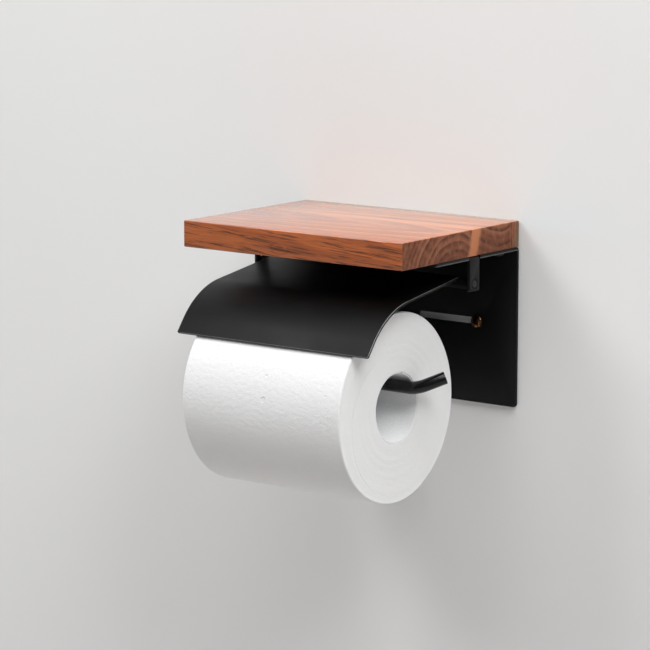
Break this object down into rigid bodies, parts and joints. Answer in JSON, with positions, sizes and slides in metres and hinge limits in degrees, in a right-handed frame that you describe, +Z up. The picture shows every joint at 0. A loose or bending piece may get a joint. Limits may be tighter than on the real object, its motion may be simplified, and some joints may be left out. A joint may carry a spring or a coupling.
{
  "type": "toilet paper holder",
  "caption": "Wall-mounted toilet paper holder: bent black sheet bracket with a wooden shelf on top, a hinged curved cover and an open-ended bar carrying a paper roll.",
  "frame": {"origin": "on the back face of the wall plate, at mid-width, level with the two wall screws", "axes": "+X along the wall towards the bar's free end, +Y into the wall, +Z up"},
  "size_m": [0.16, 0.1785, 0.1576],
  "materials": {
    "bracket_coat": "satin",
    "cover_coat": "satin",
    "shelf_wood": "satin",
    "shelf_screw_steel": "satin",
    "wall_screw_bronze": "satin",
    "core_card": "matte",
    "tissue": "matte"
  },
  "bodies": {
    "holder": {"wall_bracket": "bracket_coat", "shelf_stave_front": "shelf_wood", "shelf_stave_middle": "shelf_wood", "shelf_stave_back": "shelf_wood", "shelf_screw_back_left": "shelf_screw_steel", "shelf_screw_back_right": "shelf_screw_steel", "shelf_screw_front_left": "shelf_screw_steel", "shelf_screw_front_right": "shelf_screw_steel", "hinge_pin": "bracket_coat", "roll_bar": "bracket_coat", "wall_screw_left": "wall_screw_bronze", "wall_screw_right": "wall_screw_bronze"},
    "cover": {"hinge_tube": "cover_coat", "roll_cover": "cover_coat"},
    "roll": {"roll_core": "core_card", "paper_roll": "tissue"}
  },
  "joints": [
    {"name": "cover_hinge", "type": "hinge", "parent": "holder", "child": "cover", "pos_m": [0, -0.047, 0.0311], "axis": [-1, 0, 0], "range_deg": [0, 21]},
    {"name": "roll_spin", "type": "hinge", "parent": "holder", "child": "roll", "pos_m": [0.001, -0.0942, -0.0378], "axis": [1, 0, 0], "continuous": true}
  ]
}
